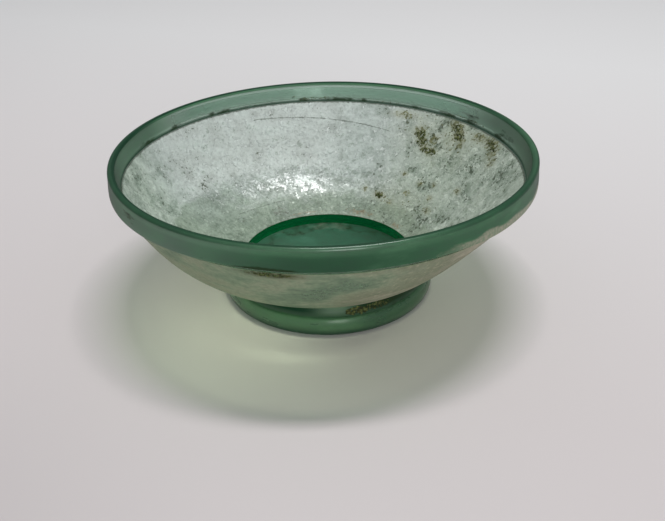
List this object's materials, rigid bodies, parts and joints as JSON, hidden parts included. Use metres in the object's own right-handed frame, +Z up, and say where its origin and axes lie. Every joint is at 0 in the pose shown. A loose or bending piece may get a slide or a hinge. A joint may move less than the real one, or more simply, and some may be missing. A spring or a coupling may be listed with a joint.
{
  "type": "glass bowl",
  "caption": "Shallow free-blown blue-green glass bowl with a folded upright collar rim, a curved weathered wall and a pinched ring foot, for holding food or liquid.",
  "frame": {"origin": "on the surface that the bowl stands on, under the middle of the rim", "axes": "+Z up out of the bowl's mouth, +X to the right and -Y to the front as pictured"},
  "size_m": [0.1568, 0.1568, 0.0577],
  "materials": {
    "glass": "translucent blue-green blown glass with a soft satin sheen and fine bubbles",
    "weathering_crust": "flaky whitish weathering crust with dark pits and a faint pearly glint",
    "weathering_film": "thin beige and grey weathering film, patchy and matt",
    "soil": "dry olive brown soil"
  },
  "bodies": {
    "root": {"bowl_wall": "glass", "rim_collar": "glass", "foot_ring": "glass", "floor_disc": "glass", "pontil_scar": "glass", "inner_crust": "weathering_crust", "outer_film": "weathering_film", "soil_back_right": "soil", "soil_right": "soil", "soil_far_right": "soil", "soil_by_floor": "soil", "soil_under_collar": "soil", "soil_foot_groove": "soil"}
  },
  "joints": []
}
